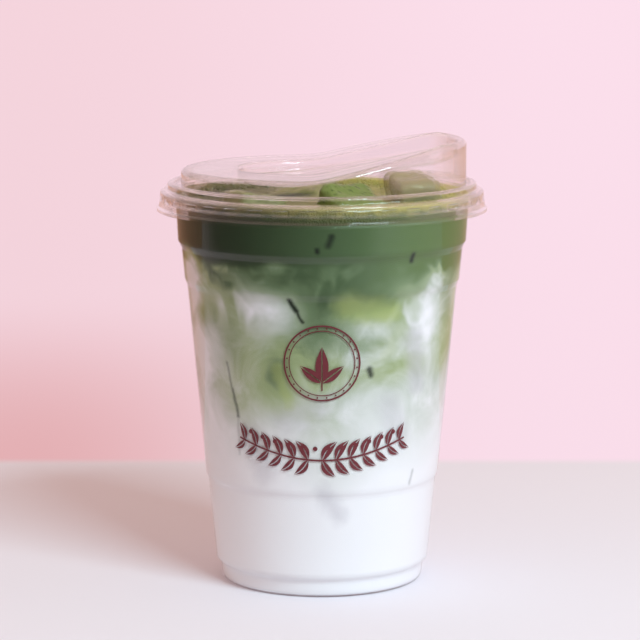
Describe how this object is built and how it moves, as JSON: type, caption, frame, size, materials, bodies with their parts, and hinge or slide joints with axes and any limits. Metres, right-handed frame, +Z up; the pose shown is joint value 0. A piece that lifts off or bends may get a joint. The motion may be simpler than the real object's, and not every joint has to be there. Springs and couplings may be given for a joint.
{
  "type": "iced matcha latte",
  "caption": "Iced matcha latte in a clear plastic takeaway cup with a clear strawless sip lid: white milk below, green matcha and froth above, ice at the top.",
  "frame": {"origin": "middle of the ring the cup stands on, on the table", "axes": "+Z up along the cup's axis, +X towards the lid's spout, -Y the printed front"},
  "size_m": [0.102, 0.102, 0.1375],
  "materials": {
    "clear_plastic": "clear glossy moulded plastic",
    "milk": "smooth wet milk",
    "matcha": "smooth wet matcha, marbled with milk at its foot",
    "froth": "fine wet bubbles",
    "ice": "wet, worn ice",
    "print": "thin flat print on the cup"
  },
  "bodies": {
    "root": {"cup": "clear_plastic", "lid": "clear_plastic", "milk": "milk", "matcha": "matcha", "froth": "froth", "ice_spout": "ice", "ice_front": "ice", "ice_left": "ice", "ice_back": "ice"}
  },
  "joints": []
}
